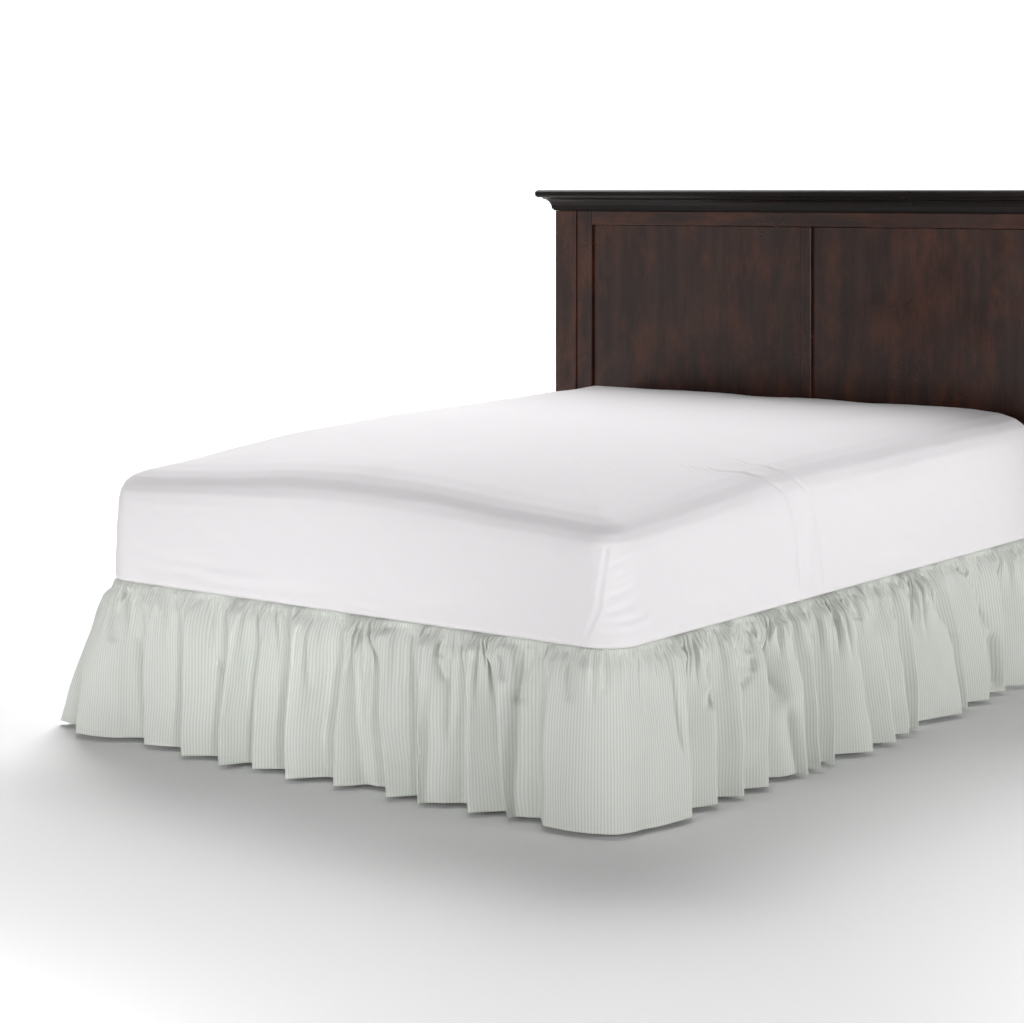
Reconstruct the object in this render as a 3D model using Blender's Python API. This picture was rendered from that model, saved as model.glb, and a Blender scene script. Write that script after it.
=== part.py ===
"""A gathered bed skirt hanging on a queen bed: box spring, mattress, steel frame and panelled headboard.

Metres, +Z up. The foot of the bed faces -Y and its right side faces +X. The origin is on the
floor in the middle of the footprint. Sizes below are measured on the bed itself, whose own
axes run across from the middle (x) and from the foot towards the head (y).
"""
import math
from collections import namedtuple

import bmesh
import bpy
from mathutils import Vector

# Driving dimensions of the bed
BED_WIDTH = 1.52
BED_LENGTH = 2.03
CORNER_RADIUS = 0.09
BOX_TOP = 0.380
BOX_BOTTOM = 0.190
EDGE_ROUND = 0.010
GAP = 0.0003

# Skirt: one gathered drop, sewn to a plain deck
CLOTH = 0.0016
CLOTH_CLEARANCE = 0.003
HEADING = 0.040
SEAM_GAP = 0.0008
DROP = 0.365
HEM_HEIGHT = 0.009
SPRING = 0.13
STEEPEST = 0.90
FACE_EASE = 1.25
FLANK_EASE = 1.10
FLANK_AT_MOST = 0.062
TOP_FLANK = 0.7
COLUMNS_PER_FLANK = 4
WIDEST_COLUMN = 0.020
DROP_ROWS = (0.0, 0.09, 0.26, 0.60, 1.0)

# Mattress in its fitted sheet
SHEET_OUT = 0.010
HEAD_OUT = 0.028
MATTRESS_CORNER = 0.075
MATTRESS_HEAD_CORNER = 0.030
CORNER_DROOP = 0.056
DROOP_REACH = 0.30
FOOT_DROOP = 0.028
HEAD_RISE = 0.012

# Headboard
BOARD_FRONT = 2.100
BOARD_BACK = 2.140
POST_OUTER = 0.920
POST_WIDTH = 0.081
STILE_WIDTH = 0.057
MULLION_WIDTH = 0.036
STILE_SET_BACK = 0.006
PANEL_SET_BACK = 0.018
PANEL_THICKNESS = 0.010
LOW_RAIL_BOTTOM = 0.44
LOW_RAIL_TOP = 0.56
PANEL_TOP = 1.232
COVE_BOTTOM = 1.276
CAP_BOTTOM = 1.318
BOARD_TOP = 1.342
COVE_OUT = 0.030
COVE_STEP = 0.004
COVE_LIP = 0.005
CAP_OUT = 0.047
CAP_ROUND = 0.006
SMALL_BEVEL = 0.002

# Steel frame under the box spring
RAIL_HEIGHT = 0.035
RAIL_WIDTH = 0.032
RAIL_FROM_MIDDLE = 0.66
RAIL_FOOT_END = 0.10
BRACKET = 0.012
BRACKET_OVER = 0.030
LEG_RADIUS = 0.019
FOOT_RADIUS = 0.030
FOOT_HEIGHT = 0.008
LEG_SIDES = 16
LEG_PLACES = (0.17, 1.00, 1.86)

SMOOTH_TO = math.radians(50)

# Colour, roughness and metallic value
STRIPED_COTTON = ((0.60, 0.62, 0.57), 0.85)
PLAIN_COTTON = ((0.86, 0.86, 0.84), 0.9)
WHITE_SHEET = ((0.87, 0.865, 0.87), 0.9)
TICKING = ((0.78, 0.77, 0.74), 0.9)
BLACK_STEEL = ((0.06, 0.06, 0.065), 0.45, 0.8)
DARK_WOOD = ((0.045, 0.030, 0.028), 0.42)

HALF = BED_WIDTH / 2
ARC = CORNER_RADIUS * math.pi / 2

# One row for each fold. top, hem: where its crest leaves the gathers and where it meets the hem.
# crest: how far the crest stands off the bed at the hem. flank: width of its steep side.
# hollow: how far the hollow beyond the steep side stands off. The foot's rows are measured from
# the left side of the bed and their steep side is to the left. The right side's rows are measured
# from the foot, with the steep side towards the head.
Fold = namedtuple("Fold", "top hem crest flank hollow")
FOOT_FOLDS = (
    Fold(-0.012, -0.020, 0.182, 0.038, 0.112),
    Fold(0.034, 0.032, 0.116, 0.034, 0.086),
    Fold(0.180, 0.184, 0.060, 0.038, 0.008),
    Fold(0.306, 0.340, 0.080, 0.042, 0.014),
    Fold(0.464, 0.475, 0.097, 0.042, 0.024),
    Fold(0.558, 0.558, 0.073, 0.036, 0.028),
    Fold(0.661, 0.685, 0.100, 0.042, 0.022),
    Fold(0.826, 0.812, 0.079, 0.040, 0.018),
    Fold(0.908, 0.967, 0.080, 0.042, 0.010),
    Fold(1.036, 1.059, 0.085, 0.040, 0.018),
    Fold(1.163, 1.189, 0.070, 0.040, 0.008),
    Fold(1.228, 1.288, 0.071, 0.038, 0.012),
    Fold(1.370, 1.378, 0.058, 0.042, 0.010),
)
RIGHT_FOLDS = (
    Fold(0.215, 0.190, 0.063, 0.034, 0.018),
    Fold(0.305, 0.310, 0.058, 0.032, 0.016),
    Fold(0.415, 0.402, 0.068, 0.032, 0.022),
    Fold(0.535, 0.505, 0.067, 0.060, 0.026),
    Fold(0.632, 0.655, 0.086, 0.026, 0.040),
    Fold(0.722, 0.717, 0.079, 0.034, 0.022),
    Fold(0.820, 0.792, 0.077, 0.038, 0.016),
    Fold(0.892, 0.940, 0.093, 0.038, 0.024),
    Fold(1.006, 1.055, 0.096, 0.034, 0.038),
    Fold(1.120, 1.158, 0.080, 0.024, 0.050),
    Fold(1.226, 1.212, 0.076, 0.036, 0.020),
    Fold(1.335, 1.440, 0.082, 0.028, 0.044),
    Fold(1.436, 1.500, 0.070, 0.032, 0.024),
    Fold(1.570, 1.628, 0.064, 0.050, 0.010),
    Fold(1.762, 1.745, 0.056, 0.034, 0.012),
    Fold(1.862, 1.855, 0.064, 0.036, 0.018),
    Fold(1.958, 1.962, 0.055, 0.030, 0.014),
)
# The near corner's broad panel: its middle, and the shallow hollow where it ends.
CORNER_CREST = 0.066
CORNER_DENT_AT = 0.062
CORNER_DENT = 0.049
# The left side hangs as the right one does, a little shifted and not quite as deep.
LEFT_SHIFT = 0.014
LEFT_DEPTH = 0.92
END_STAND_OFF = 0.030

# The mattress from its bottom face up: how far each ring lies inside its widest outline, its height.
Ring = namedtuple("Ring", "inset height")
MATTRESS_RINGS = (
    Ring(0.058, 0.000), Ring(0.020, 0.0035), Ring(0.010, 0.0045), Ring(0.003, 0.008), Ring(0.000, 0.018),
    Ring(0.000, 0.060),
    Ring(0.004, 0.150), Ring(0.009, 0.228), Ring(0.017, 0.264), Ring(0.032, 0.292), Ring(0.056, 0.313),
    Ring(0.100, 0.332), Ring(0.180, 0.346), Ring(0.320, 0.353), Ring(0.520, 0.356),
)
MATTRESS_SIDE = 0.120


def clear_scene():
    for old in list(bpy.data.objects):
        bpy.data.objects.remove(old, do_unlink=True)


def make_material(name, color, roughness, metallic=0.0):
    material = bpy.data.materials.new(name)
    material.use_nodes = True
    shader = material.node_tree.nodes["Principled BSDF"]
    shader.inputs["Base Color"].default_value = (*color, 1.0)
    shader.inputs["Roughness"].default_value = roughness
    shader.inputs["Metallic"].default_value = metallic
    material.diffuse_color = (*color, 1.0)
    return material


def add_object(name, mesh_data, finish, bed):
    """An object of the bed from a bmesh; finish is its colour, roughness and metallic value."""
    bmesh.ops.recalc_face_normals(mesh_data, faces=mesh_data.faces)
    mesh = bpy.data.meshes.new(name)
    mesh_data.to_mesh(mesh)
    mesh_data.free()
    mesh.materials.append(make_material(name, *finish))
    part = bpy.data.objects.new(name, mesh)
    bpy.context.collection.objects.link(part)
    part.parent = bed
    return part


def stack_rings(rings):
    """A closed solid from rings of equal length, from the lowest to the highest, capped at both ends."""
    solid = bmesh.new()
    loops = [[solid.verts.new(point) for point in ring] for ring in rings]
    for low, high in zip(loops, loops[1:]):
        for i in range(len(low)):
            j = (i + 1) % len(low)
            solid.faces.new((low[i], low[j], high[j], high[i]))
    solid.faces.new(list(reversed(loops[0])))
    solid.faces.new(loops[-1])
    return solid


def turned(x, y, profile):
    """An upright turned solid from (radius, height) rows."""
    turns = [math.tau * k / LEG_SIDES for k in range(LEG_SIDES)]
    return stack_rings([[(x + radius * math.cos(turn), y + radius * math.sin(turn), z) for turn in turns]
                        for radius, z in profile])


def box_solid(low, high):
    solid = bmesh.new()
    bmesh.ops.create_cube(solid, size=1.0)
    low, high = Vector(low), Vector(high)
    for vert in solid.verts:
        vert.co = [low[k] + (vert.co[k] + 0.5) * (high[k] - low[k]) for k in range(3)]
    return solid


def smooth(part):
    part.data.shade_smooth()
    part.data.set_sharp_from_angle(angle=SMOOTH_TO)


def bevel(part, width):
    modifier = part.modifiers.new("eased edges", "BEVEL")
    modifier.width = width
    modifier.segments = 1


def bed_outline(inset, foot_radius, head_radius, arc_steps, side_steps, head_out=0.0):
    """Rounded outline of the bed in plan, anticlockwise from the foot, moved in by inset."""
    foot, head = max(foot_radius - inset, 0.02), max(head_radius - inset, 0.02)
    x_out, y_low, y_high = HALF - inset, inset, BED_LENGTH - inset + head_out
    corners = (
        (x_out - foot, y_low + foot, foot, -90), (x_out - head, y_high - head, head, 0),
        (-x_out + head, y_high - head, head, 90), (-x_out + foot, y_low + foot, foot, 180),
    )
    arcs = []
    for cx, cy, radius, start in corners:
        turns = [math.radians(start + 90 * i / arc_steps) for i in range(arc_steps + 1)]
        arcs.append([(cx + radius * math.cos(turn), cy + radius * math.sin(turn)) for turn in turns])
    points = []
    for k, arc in enumerate(arcs):
        points += arc
        here, there = Vector(arc[-1]), Vector(arcs[(k + 1) % 4][0])
        points += [tuple(here.lerp(there, i / side_steps)) for i in range(1, side_steps)]
    return points


# ---- the skirt --------------------------------------------------------------------------------

def edge_point(p):
    """Point of the bed's edge at distance p, and the outward direction there.

    p equals the distance from the bed's left side along the straight of the foot, falls below
    zero round the left corner and up the left side, and runs on round the right corner.
    """
    left_arc, right_arc = CORNER_RADIUS, BED_WIDTH - CORNER_RADIUS
    if p < left_arc - ARC:
        return (-HALF, 2 * CORNER_RADIUS - ARC - p), (-1.0, 0.0)
    if p < left_arc:
        turn = (left_arc - p) / CORNER_RADIUS
        out = (-math.sin(turn), -math.cos(turn))
        return (-HALF + CORNER_RADIUS * (1 + out[0]), CORNER_RADIUS * (1 + out[1])), out
    if p <= right_arc:
        return (p - HALF, 0.0), (0.0, -1.0)
    if p < right_arc + ARC:
        turn = (p - right_arc) / CORNER_RADIUS
        out = (math.sin(turn), -math.cos(turn))
        return (HALF - CORNER_RADIUS * (1 - out[0]), CORNER_RADIUS * (1 + out[1])), out
    return (HALF, p - right_side(0.0)), (1.0, 0.0)


def right_side(y):
    """Edge distance of a point of the right side."""
    return BED_WIDTH - 2 * CORNER_RADIUS + ARC + y


def left_side(y):
    """Edge distance of a point of the left side."""
    return 2 * CORNER_RADIUS - ARC - y


# A ridge or hollow of the cloth: its edge distance under the gathers and at the hem, its stand-off.
Line = namedtuple("Line", "top hem off")


def left_lines():
    lines = [Line(left_side(BED_LENGTH), left_side(BED_LENGTH), END_STAND_OFF)]
    for i, fold in enumerate(reversed(RIGHT_FOLDS)):
        shift = LEFT_SHIFT * math.sin(2.3 * i)
        crest = LEFT_DEPTH * fold.crest + 0.008 * math.sin(1.7 * i + 1.0)
        lines.append(Line(left_side(fold.top + shift + TOP_FLANK * fold.flank),
                          left_side(fold.hem + shift + fold.flank), fold.hollow))
        lines.append(Line(left_side(fold.top + shift), left_side(fold.hem + shift), crest))
    return lines


def foot_lines():
    lines = []
    for fold in FOOT_FOLDS:
        lines.append(Line(fold.top - TOP_FLANK * fold.flank, fold.hem - fold.flank, fold.hollow))
        lines.append(Line(fold.top, fold.hem, fold.crest))
    middle = BED_WIDTH - CORNER_RADIUS + ARC / 2
    lines.append(Line(middle, middle, CORNER_CREST))
    dent = right_side(CORNER_DENT_AT)
    lines.append(Line(dent + 0.02, dent, CORNER_DENT))
    return lines


def right_lines():
    lines = []
    for fold in RIGHT_FOLDS:
        lines.append(Line(right_side(fold.top), right_side(fold.hem), fold.crest))
        lines.append(Line(right_side(fold.top + TOP_FLANK * fold.flank),
                          right_side(fold.hem + fold.flank), fold.hollow))
    lines.append(Line(right_side(BED_LENGTH), right_side(BED_LENGTH), END_STAND_OFF))
    return lines


def stand_off(hem_off, base, t):
    """How far the cloth stands off the bed at fraction t of the drop, for its stand-off at the hem.

    base is the stand-off of the hollows beside it, which grows steadily down the drop. The rest
    springs out under the gathers, the sooner the shallower it is.
    """
    depth = hem_off - base
    spring = max(SPRING, depth / (STEEPEST * DROP))
    return CLOTH_CLEARANCE + base * t + depth * (1 - math.exp(-t / spring)) / (1 - math.exp(-1 / spring))


def cloth_column(top, hem, hem_off, base):
    """Points of the cloth's middle surface down one thread, from the heading to the hem."""
    column = []
    (x, y), out = edge_point(top)
    halfway_round = (EDGE_ROUND + CLOTH_CLEARANCE) * math.sqrt(0.5) - EDGE_ROUND
    heading = [(-HEADING, BOX_TOP + GAP + CLOTH / 2), (-EDGE_ROUND, BOX_TOP + CLOTH_CLEARANCE),
               (halfway_round, BOX_TOP + halfway_round)]
    for off, z in heading:
        column.append((x + out[0] * off, y + out[1] * off, z))
    falls = [0.0]
    before = (0.0, stand_off(hem_off, base, 0.0), top)
    for t in DROP_ROWS[1:]:
        step = (t, stand_off(hem_off, base, t), top + (hem - top) * t)
        run, swing, shift = (now - last for now, last in zip(step, before))
        falls.append(falls[-1] + math.sqrt(max((DROP * run) ** 2 - swing ** 2 - shift ** 2, 0.0)))
        before = step
    height = BOX_TOP - EDGE_ROUND
    for t, fall in zip(DROP_ROWS, falls):
        off = stand_off(hem_off, base, t)
        (x, y), out = edge_point(top + (hem - top) * t)
        column.append((x + out[0] * off, y + out[1] * off, height - (height - HEM_HEIGHT) * fall / falls[-1]))
    return column


def cloth_grid(lines):
    """Columns of points over a run of ridges and hollows."""
    grid = []
    lowest = [min(line.off for line in lines[max(i - 1, 0):i + 2]) for i in range(len(lines))]
    for i, (here, there) in enumerate(zip(lines, lines[1:])):
        columns = max(COLUMNS_PER_FLANK, math.ceil((there.top - here.top) / WIDEST_COLUMN))
        climbs = there.off > here.off
        narrow = abs(there.hem - here.hem) < FLANK_AT_MOST
        ease = FLANK_EASE if narrow else FACE_EASE
        for k in range(columns + (i == len(lines) - 2)):
            t = k / columns
            rise = t ** ease if climbs else 1 - (1 - t) ** ease
            grid.append(cloth_column(here.top + (there.top - here.top) * t,
                                     here.hem + (there.hem - here.hem) * t,
                                     here.off + (there.off - here.off) * rise,
                                     lowest[i] + (lowest[i + 1] - lowest[i]) * t))
    return grid


def thick_sheet(grid, end_tangents):
    """A closed sheet CLOTH thick about a grid of points, which leaves its ends along two tangents."""
    solid = bmesh.new()
    last_i, last_j = len(grid) - 1, len(grid[0]) - 1
    faces = {-1: [], 1: []}
    for i, column in enumerate(grid):
        for side in faces:
            faces[side].append([])
        for j, point in enumerate(column):
            along = Vector(grid[min(i + 1, last_i)][j]) - Vector(grid[max(i - 1, 0)][j])
            if i in (0, last_i):
                along = end_tangents[i == last_i]
            down = Vector(column[min(j + 1, last_j)]) - Vector(column[max(j - 1, 0)])
            normal = along.cross(down).normalized() * (CLOTH / 2)
            for side in faces:
                faces[side][i].append(solid.verts.new(Vector(point) + side * normal))
    for side, verts in faces.items():
        for i in range(last_i):
            for j in range(last_j):
                solid.faces.new((verts[i][j], verts[i + 1][j], verts[i + 1][j + 1], verts[i][j + 1]))
    one, two = faces[-1], faces[1]
    for i in range(last_i):
        for j in (0, last_j):
            solid.faces.new((one[i][j], one[i + 1][j], two[i + 1][j], two[i][j]))
    for j in range(last_j):
        for i in (0, last_i):
            solid.faces.new((one[i][j], one[i][j + 1], two[i][j + 1], two[i][j]))
    return solid


def parted(lines, first, last):
    """A run of lines whose ends leave half the gap to the widths sewn to it."""
    run = list(lines)
    if first:
        run[0] = Line(run[0].top + GAP, run[0].hem + GAP, run[0].off)
    if last:
        run[-1] = Line(run[-1].top - GAP, run[-1].hem - GAP, run[-1].off)
    return run


def build_skirt(bed):
    left, foot, right = left_lines(), foot_lines(), right_lines()
    seam_left, seam_right = foot[0], right[1]
    widths = {
        "ruffle_left": parted(left + [seam_left], False, True),
        "ruffle_foot": parted(foot + right[:2], True, True),
        "ruffle_right": parted([seam_right] + right[2:], True, False),
    }
    for name, lines in widths.items():
        outward = [edge_point(line.hem)[1] for line in (lines[0], lines[-1])]
        tangents = [Vector((-out[1], out[0], 0.0)) for out in outward]
        ruffle = add_object(name, thick_sheet(cloth_grid(lines), tangents), STRIPED_COTTON, bed)
        smooth(ruffle)
    outline = bed_outline(HEADING + SEAM_GAP, CORNER_RADIUS, CORNER_RADIUS, 10, 1)
    rings = [[(x, y, z) for x, y in outline] for z in (BOX_TOP + GAP, BOX_TOP + GAP + CLOTH)]
    add_object("skirt_deck", stack_rings(rings), PLAIN_COTTON, bed)


# ---- what carries it --------------------------------------------------------------------------

def build_box_spring(bed):
    profile = [(0.006, BOX_BOTTOM), (0.0, BOX_BOTTOM + 0.006), (0.0, BOX_TOP - EDGE_ROUND)]
    for step in (1, 2, 3):
        turn = math.radians(30 * step)
        profile.append((EDGE_ROUND * (1 - math.cos(turn)), BOX_TOP - EDGE_ROUND * (1 - math.sin(turn))))
    rings = []
    for inset, z in profile:
        rings.append([(x, y, z) for x, y in bed_outline(inset, CORNER_RADIUS, CORNER_RADIUS, 8, 1)])
    block = add_object("box_spring", stack_rings(rings), TICKING, bed)
    smooth(block)


def mattress_height(x, y, height):
    """The soft top is lower at the foot and at its corners, and rises a little towards the head."""
    share = max(0.0, (height - MATTRESS_SIDE) / (MATTRESS_RINGS[-1].height - MATTRESS_SIDE))
    corner = math.exp(-math.hypot(HALF - abs(x), y) / DROOP_REACH)
    along = y / BED_LENGTH
    return height + share * (HEAD_RISE * along - FOOT_DROOP * (1 - along) - CORNER_DROOP * corner)


def build_mattress(bed):
    bottom = BOX_TOP + 2 * GAP + CLOTH
    rings = []
    for ring in MATTRESS_RINGS:
        outline = bed_outline(ring.inset - SHEET_OUT, MATTRESS_CORNER, MATTRESS_HEAD_CORNER, 5, 6,
                              HEAD_OUT - SHEET_OUT)
        rings.append([(x, y, bottom + mattress_height(x, y, ring.height)) for x, y in outline])
    mattress = add_object("mattress", stack_rings(rings), WHITE_SHEET, bed)
    smooth(mattress)


def build_frame(bed):
    top = BOX_BOTTOM - GAP
    low = top - RAIL_HEIGHT
    half_rail = RAIL_WIDTH / 2
    plate_front = BOARD_FRONT - BRACKET
    for side, name in ((-1, "left"), (1, "right")):
        x = side * RAIL_FROM_MIDDLE
        rail = add_object("frame_rail_" + name,
                          box_solid((x - half_rail, RAIL_FOOT_END, low), (x + half_rail, plate_front, top)),
                          BLACK_STEEL, bed)
        bevel(rail, SMALL_BEVEL)
        for number, y in enumerate(LEG_PLACES, 1):
            profile = ((FOOT_RADIUS, 0.0), (FOOT_RADIUS, FOOT_HEIGHT), (LEG_RADIUS, 2 * FOOT_HEIGHT),
                       (LEG_RADIUS, low - GAP))
            leg = add_object("frame_leg_%s_%d" % (name, number), turned(x, y, profile), BLACK_STEEL, bed)
            smooth(leg)
        near, far = x - side * half_rail, side * (POST_OUTER - POST_WIDTH / 2)
        low_corner = (min(near, far), plate_front + GAP, low - BRACKET_OVER)
        high_corner = (max(near, far), BOARD_FRONT - GAP, top + BRACKET_OVER)
        plate = add_object("headboard_bracket_" + name, box_solid(low_corner, high_corner), BLACK_STEEL, bed)
        bevel(plate, SMALL_BEVEL)
    reach = RAIL_FROM_MIDDLE - half_rail - GAP
    for name, y in (("foot", LEG_PLACES[0]), ("middle", LEG_PLACES[1]), ("head", LEG_PLACES[2])):
        low_corner, high_corner = (-reach, y - half_rail, low), (reach, y + half_rail, top)
        cross = add_object("frame_cross_" + name, box_solid(low_corner, high_corner), BLACK_STEEL, bed)
        bevel(cross, SMALL_BEVEL)


def build_board_piece(name, x_span, y_span, z_span, bed):
    low, high = zip(x_span, y_span, z_span)
    piece = add_object(name, box_solid(low, high), DARK_WOOD, bed)
    bevel(piece, SMALL_BEVEL)


def build_tier(name, profile, bed):
    """A moulding that runs round the front and both ends of the headboard, from (out, height) rows."""
    rings = []
    for out, z in profile:
        x, front = POST_OUTER + out, BOARD_FRONT - out
        rings.append([(-x, front, z), (x, front, z), (x, BOARD_BACK, z), (-x, BOARD_BACK, z)])
    add_object(name, stack_rings(rings), DARK_WOOD, bed)


def build_headboard(bed):
    post_inner = POST_OUTER - POST_WIDTH
    panel_outer = post_inner - STILE_WIDTH
    half_mullion = MULLION_WIDTH / 2
    rail_front = BOARD_FRONT + STILE_SET_BACK
    panel_front = BOARD_FRONT + PANEL_SET_BACK
    rail_y = (rail_front, BOARD_BACK - STILE_SET_BACK)
    panel_y = (panel_front, panel_front + PANEL_THICKNESS)
    panel_z = (LOW_RAIL_TOP + GAP, PANEL_TOP - GAP)
    for side, name in ((-1, "left"), (1, "right")):
        def span(near, far):
            return tuple(sorted((side * (near + GAP / 2), side * (far - GAP / 2))))
        build_board_piece("headboard_post_" + name, span(post_inner, POST_OUTER), (BOARD_FRONT, BOARD_BACK),
                          (0.0, COVE_BOTTOM - GAP), bed)
        build_board_piece("headboard_stile_" + name, span(panel_outer, post_inner), rail_y,
                          (LOW_RAIL_BOTTOM, COVE_BOTTOM - GAP), bed)
        build_board_piece("headboard_panel_" + name, span(half_mullion, panel_outer), panel_y, panel_z, bed)
    inner = panel_outer - GAP / 2
    build_board_piece("headboard_top_rail", (-inner, inner), rail_y, (PANEL_TOP, COVE_BOTTOM - GAP), bed)
    build_board_piece("headboard_low_rail", (-inner, inner), rail_y, (LOW_RAIL_BOTTOM, LOW_RAIL_TOP), bed)
    half = half_mullion - GAP / 2
    build_board_piece("headboard_mullion", (-half, half), rail_y, panel_z, bed)
    cove_top = CAP_BOTTOM - GAP
    foot_of_curve = COVE_BOTTOM + COVE_STEP
    cove = [(COVE_STEP, COVE_BOTTOM), (COVE_STEP, foot_of_curve)]
    for step in range(5):
        turn = math.radians(22.5 * step)
        cove.append((2 * COVE_STEP + (COVE_OUT - 2 * COVE_STEP) * (1 - math.cos(turn)),
                     foot_of_curve + COVE_LIP / 4 + (cove_top - foot_of_curve - COVE_LIP) * math.sin(turn)))
    cove.append((COVE_OUT, cove_top))
    build_tier("headboard_cove", cove, bed)
    cap = [(CAP_OUT - CAP_ROUND, CAP_BOTTOM), (CAP_OUT, CAP_BOTTOM + CAP_ROUND),
           (CAP_OUT, BOARD_TOP - CAP_ROUND), (CAP_OUT - CAP_ROUND, BOARD_TOP)]
    build_tier("headboard_cap", cap, bed)


def centre_on_floor(bed):
    """Move the bed so that the middle of its footprint is over the origin."""
    reach = [vert.co.y for part in bed.children for vert in part.data.vertices]
    bed.location.y = -(min(reach) + max(reach)) / 2


def build():
    clear_scene()
    bed = bpy.data.objects.new("bed", None)
    bpy.context.collection.objects.link(bed)
    build_skirt(bed)
    build_box_spring(bed)
    build_mattress(bed)
    build_frame(bed)
    build_headboard(bed)
    centre_on_floor(bed)


build()
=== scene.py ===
"""Looks of the gathered bed skirt on its bed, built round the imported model."""

import math
from collections import namedtuple

import bpy
import numpy as np
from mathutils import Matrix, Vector


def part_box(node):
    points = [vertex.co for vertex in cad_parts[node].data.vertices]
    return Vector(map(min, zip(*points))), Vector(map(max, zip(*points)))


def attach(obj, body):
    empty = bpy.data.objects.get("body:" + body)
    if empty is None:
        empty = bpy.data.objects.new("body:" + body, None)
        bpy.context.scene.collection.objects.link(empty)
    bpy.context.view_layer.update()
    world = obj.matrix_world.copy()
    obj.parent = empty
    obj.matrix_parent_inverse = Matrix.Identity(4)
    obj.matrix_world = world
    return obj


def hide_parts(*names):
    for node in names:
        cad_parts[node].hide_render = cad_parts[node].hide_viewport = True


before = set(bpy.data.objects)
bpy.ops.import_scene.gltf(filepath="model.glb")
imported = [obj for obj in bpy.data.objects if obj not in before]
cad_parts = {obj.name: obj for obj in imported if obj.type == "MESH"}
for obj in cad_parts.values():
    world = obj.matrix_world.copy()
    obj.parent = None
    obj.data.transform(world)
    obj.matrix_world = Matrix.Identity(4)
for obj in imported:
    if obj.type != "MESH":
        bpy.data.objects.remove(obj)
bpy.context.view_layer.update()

# The bed's own axes: x across from its middle, y from its foot towards its head, z up
BED_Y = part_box("box_spring")[0].y
BED_WIDTH, BED_LENGTH = 1.52, 2.03
HALF = BED_WIDTH / 2
CENTRE = np.array([0, BED_LENGTH / 2])
CORNER_RADIUS = 0.09
ARC = CORNER_RADIUS * math.pi / 2
BOX_TOP = 0.380
EDGE_ROUND = 0.010
CLEARANCE = 0.003
DROP = 0.365
HEM_HEIGHT = 0.009

# Share of the drop over which a fold springs out, in general and on the left, and its steepest slope
SPRING, LEFT_SPRING, STEEPEST = 0.17, 0.60, 0.90
LEFT_SPRING_ENDS = (-0.05, 0.12)
# How a fold rises to its crest: on the foot's broad faces, on the right side's, and on the narrow flanks
FACE_EASE, SIDE_FACE_EASE, FLANK_EASE, FLANK_AT_MOST = 1.55, 0.72, 1.10, 0.062
# Shares of the tables' hollows that the right side has, and of a flank's width that it has at the seam
SIDE_HOLLOW, TOP_FLANK = 0.45, 0.7
# Lengths over which the crests are rounded, and the gathers evened out along the seam
CREST_ROUND, EVEN_GATHER = 0.0035, 0.030

# The gathered cloth is a net of points: its spacing across, and how stiffly it bends across and down
THREAD = 0.0023
BEND_ACROSS, BEND_DOWN = 0.40, 0.30
# Stiffness of its sides and diagonals, its sag in a round, the share of its drift that every fourth round
# takes back, and the share of its surplus width that it lets go below the gathers
SIDE_STIFF, DIAGONAL_STIFF, SAG, HOMING, RELEASE = 0.9, 0.25, 0.00004, 0.10, 0.8
ROUNDS = 6

# top, hem: where the crest lies along the bed's edge, at the seam and at the hem. crest, hollow: how far it
# and the hollow beside it stand off. flank: the way from one to the other at the hem
Fold = namedtuple("Fold", "top hem crest flank hollow")
FOOT_FOLDS = tuple(Fold(*row) for row in (
    (-0.012, -0.020, 0.182, 0.038, 0.112), (0.034, 0.032, 0.116, 0.034, 0.086),
    (0.180, 0.184, 0.060, 0.038, 0.008), (0.306, 0.340, 0.080, 0.042, 0.014),
    (0.464, 0.475, 0.097, 0.042, 0.024), (0.558, 0.558, 0.073, 0.036, 0.028),
    (0.661, 0.685, 0.100, 0.042, 0.022), (0.826, 0.812, 0.079, 0.040, 0.018),
    (0.908, 0.967, 0.080, 0.042, 0.010), (1.036, 1.059, 0.085, 0.040, 0.018),
    (1.163, 1.189, 0.070, 0.040, 0.008), (1.228, 1.288, 0.071, 0.038, 0.012),
    (1.370, 1.378, 0.058, 0.042, 0.010),
))
RIGHT_FOLDS = tuple(Fold(*row) for row in (
    (0.215, 0.190, 0.063, 0.034, 0.018), (0.305, 0.310, 0.058, 0.032, 0.016),
    (0.415, 0.402, 0.068, 0.032, 0.022), (0.535, 0.505, 0.067, 0.060, 0.026),
    (0.632, 0.655, 0.086, 0.026, 0.040), (0.722, 0.717, 0.079, 0.034, 0.022),
    (0.820, 0.792, 0.077, 0.038, 0.016), (0.892, 0.940, 0.093, 0.038, 0.024),
    (1.006, 1.055, 0.096, 0.034, 0.038), (1.120, 1.158, 0.080, 0.024, 0.050),
    (1.226, 1.212, 0.076, 0.036, 0.020), (1.335, 1.440, 0.082, 0.028, 0.044),
    (1.436, 1.500, 0.070, 0.032, 0.024), (1.570, 1.628, 0.064, 0.050, 0.010),
    (1.762, 1.745, 0.056, 0.034, 0.012), (1.862, 1.855, 0.064, 0.036, 0.018),
    (1.958, 1.962, 0.055, 0.030, 0.014),
))
# The broad fold round the right corner, and the dent beyond it: its place, stand-off and slant
CORNER_CREST = 0.066
DENT_AT, DENT, DENT_SLANT = 0.062, 0.049, 0.02
# The left side repeats the right side's folds, shifted and shallower, with some change from one to the next
LEFT_SHIFT, LEFT_DEPTH, LEFT_CHANGE = 0.014, 0.92, 0.008
END_STAND_OFF = 0.030


# ---- the cloth's path round the bed ----

def right_side(y):
    return BED_WIDTH - 2 * CORNER_RADIUS + ARC + y


def left_side(y):
    return 2 * CORNER_RADIUS - ARC - y


def past_corners(x, y):
    """How far points lie past the centres of the bed's foot corners, to their side and towards the foot."""
    return np.abs(x) - (HALF - CORNER_RADIUS), CORNER_RADIUS - y


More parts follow.
